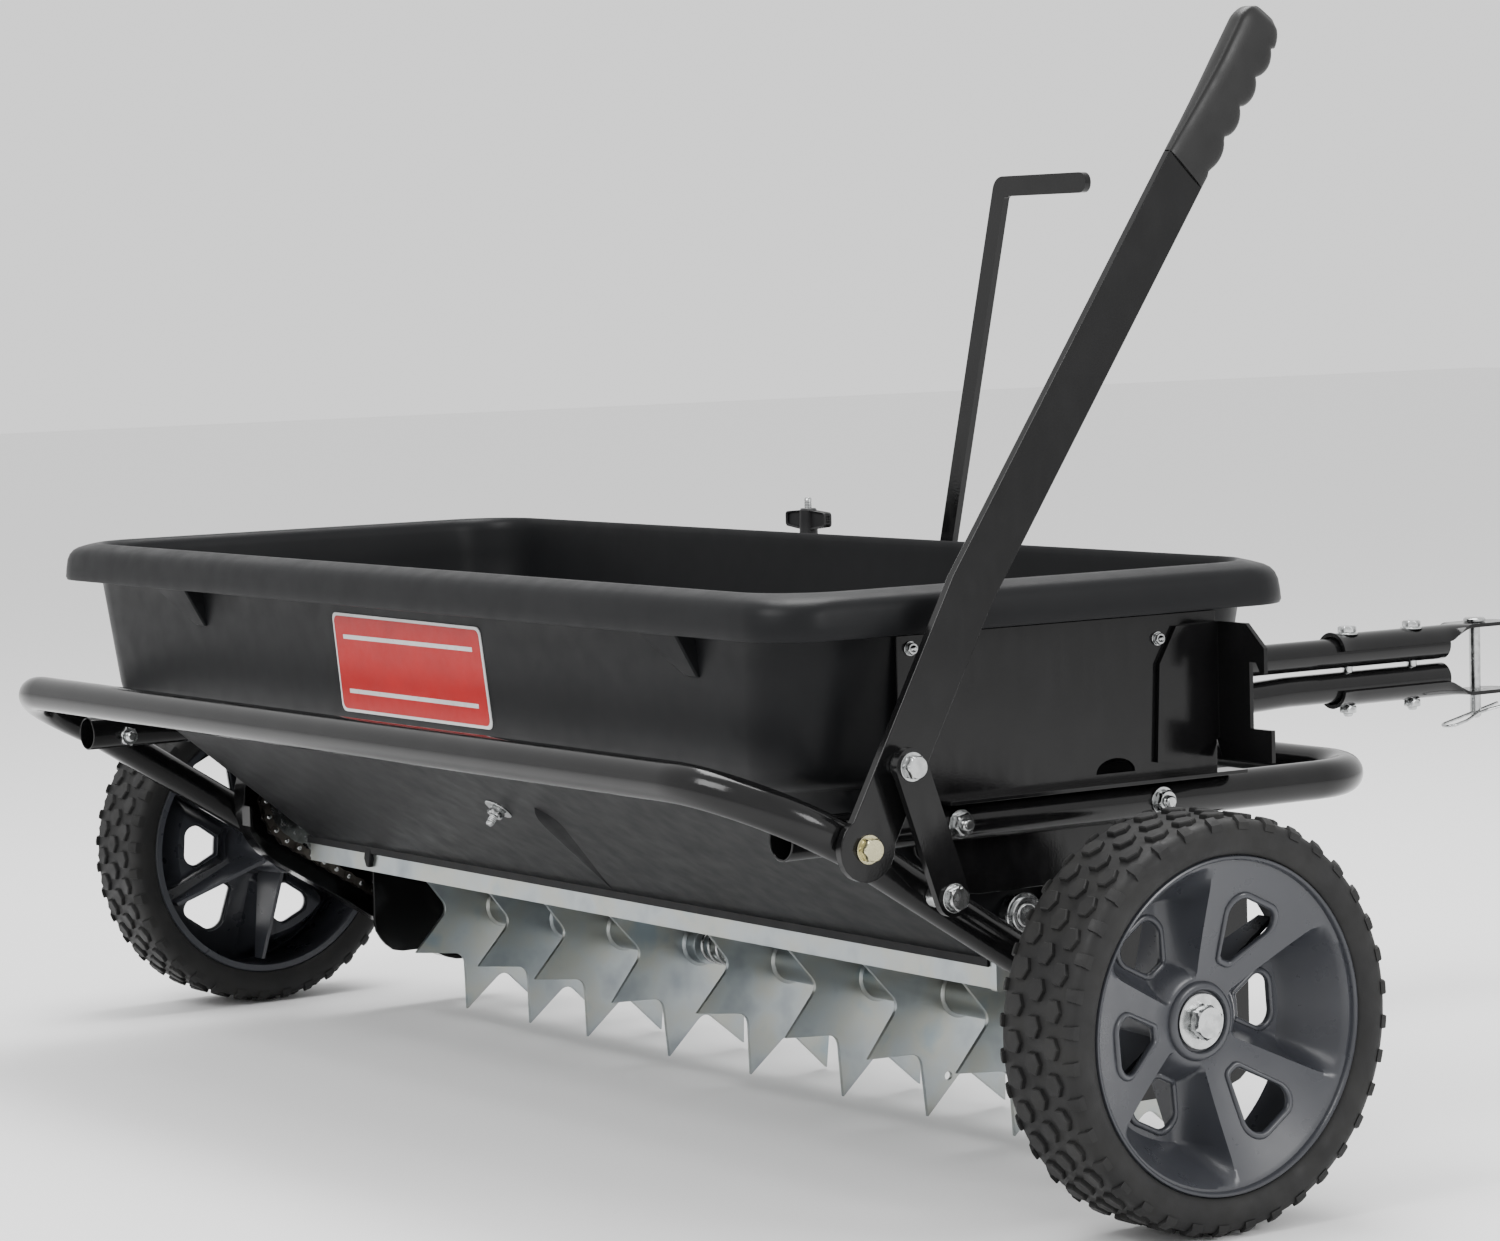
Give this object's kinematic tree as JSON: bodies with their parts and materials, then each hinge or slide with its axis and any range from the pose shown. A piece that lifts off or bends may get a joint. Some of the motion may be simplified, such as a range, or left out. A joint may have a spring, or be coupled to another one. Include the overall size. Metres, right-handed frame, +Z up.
{
  "type": "tow-behind spreader",
  "caption": "Tow-behind lawn spiker with a plastic drop hopper on a black tube frame: two treaded wheels, a row of star spikes, a lift lever, a flow arm and a clevis tow bar.",
  "frame": {"origin": "middle of the footprint, on the ground", "axes": "+X to the side that carries the lift lever, along the axle; +Y forward to the hitch; +Z up"},
  "size_m": [1.2612, 1.1085, 0.7356],
  "materials": {
    "hopper_plastic": "moulded polyethylene, fine matt grain",
    "wheel_plastic": "moulded, slate grey-blue, satin",
    "tyre_rubber": "semi-pneumatic, raised lug tread, matt",
    "grip_plastic": "moulded vinyl, finger ridges",
    "black_paint": "gloss black powder coat",
    "galvanised": "galvanised sheet, faint spangle",
    "zinc": "zinc-plated",
    "chain_steel": "oiled roller chain",
    "knob_plastic": "moulded, satin black"
  },
  "bodies": {
    "frame": {"hopper": "hopper_plastic", "bottom_plate": "galvanised", "frame_tube": "black_paint", "side_plate_left": "black_paint", "side_plate_right": "black_paint", "hopper_plate_left": "black_paint", "hopper_plate_right": "black_paint", "latch_bracket": "black_paint", "pivot_bolt_left": "zinc", "pivot_bolt_right": "zinc", "star_bushing_left": "zinc", "star_bushing_right": "zinc", "agitator_bushing_left": "zinc", "agitator_bushing_right": "zinc", "chain": "chain_steel", "chain_guard": "black_paint", "flow_bracket": "black_paint", "tow_tube_upper": "black_paint", "tow_tube_lower": "black_paint", "tow_bolt_left": "zinc", "tow_bolt_right": "zinc", "hitch_strap_upper": "black_paint", "hitch_strap_lower": "black_paint", "hitch_bolt_rear": "zinc", "hitch_bolt_front": "zinc"},
    "wheel_frame": {"wheel_frame_tube": "black_paint", "lift_lever": "black_paint", "lever_grip": "grip_plastic", "lever_link": "black_paint", "link_spacer_upper": "zinc", "link_spacer_lower": "zinc", "link_bolt_upper": "zinc", "link_bolt_lower": "zinc", "axle_bolt_left": "zinc", "axle_bolt_right": "zinc", "axle_spacer_left": "zinc", "axle_spacer_right": "zinc"},
    "wheel_set_left": {"tyre_left": "tyre_rubber", "wheel_left": "wheel_plastic"},
    "wheel_set_right": {"tyre_right": "tyre_rubber", "wheel_right": "wheel_plastic"},
    "star_rotor": {"star_shaft": "galvanised", "star_1": "galvanised", "star_2": "galvanised", "star_3": "galvanised", "star_4": "galvanised", "star_5": "galvanised", "star_6": "galvanised", "star_7": "galvanised", "star_8": "galvanised", "star_9": "galvanised", "spring": "zinc", "star_sprocket": "zinc"},
    "agitator_rotor": {"agitator": "zinc"},
    "flow_lever": {"flow_arm": "black_paint"},
    "closure": {"closure_plate": "galvanised"},
    "stop": {"flow_stop": "zinc"},
    "knob": {"wing_knob": "knob_plastic"},
    "pin": {"hitch_pin": "zinc"},
    "clip": {"hairpin": "zinc"}
  },
  "joints": [
    {"name": "lift", "type": "hinge", "parent": "frame", "child": "wheel_frame", "pos_m": [0, -0.4626, 0.24], "axis": [-1, 0, 0], "range_deg": [0, 34]},
    {"name": "wheel_left_spin", "type": "hinge", "parent": "wheel_frame", "child": "wheel_set_left", "pos_m": [-0.595, -0.2816, 0.127], "axis": [1, 0, 0], "continuous": true},
    {"name": "wheel_right_spin", "type": "hinge", "parent": "wheel_frame", "child": "wheel_set_right", "pos_m": [0.595, -0.2816, 0.127], "axis": [1, 0, 0], "continuous": true},
    {"name": "star_spin", "type": "hinge", "parent": "frame", "child": "star_rotor", "pos_m": [0, -0.1596, 0.0835], "axis": [1, 0, 0], "continuous": true},
    {"name": "agitator_spin", "type": "hinge", "parent": "frame", "child": "agitator_rotor", "pos_m": [0, -0.2986, 0.178], "axis": [1, 0, 0], "continuous": true},
    {"name": "flow_swing", "type": "hinge", "parent": "frame", "child": "flow_lever", "pos_m": [0.066, -0.0766, 0.3], "axis": [0, -1, 0], "range_deg": [0, 12]},
    {"name": "closure_slide", "type": "slide", "parent": "frame", "child": "closure", "axis": [1, 0, 0], "range_m": [0, 0.0298]},
    {"name": "stop_slide", "type": "slide", "parent": "frame", "child": "stop", "axis": [1, 0, 0], "range_m": [-0.018, 0.09]},
    {"name": "knob_turn", "type": "hinge", "parent": "stop", "child": "knob", "pos_m": [-0.071, -0.0846, 0.4], "axis": [0, 0, 1], "continuous": true},
    {"name": "pin_lift", "type": "slide", "parent": "frame", "child": "pin", "axis": [0, 0, 1], "range_m": [0, 0.008]},
    {"name": "clip_pull", "type": "slide", "parent": "pin", "child": "clip", "axis": [0, -0.978, -0.2085], "range_m": [0, 0.045]}
  ],
  "couplings": [
    {"joint": "agitator_spin", "follows": "star_spin", "ratio": 0.8},
    {"joint": "closure_slide", "follows": "flow_swing", "m_per_rad": 0.142}
  ]
}
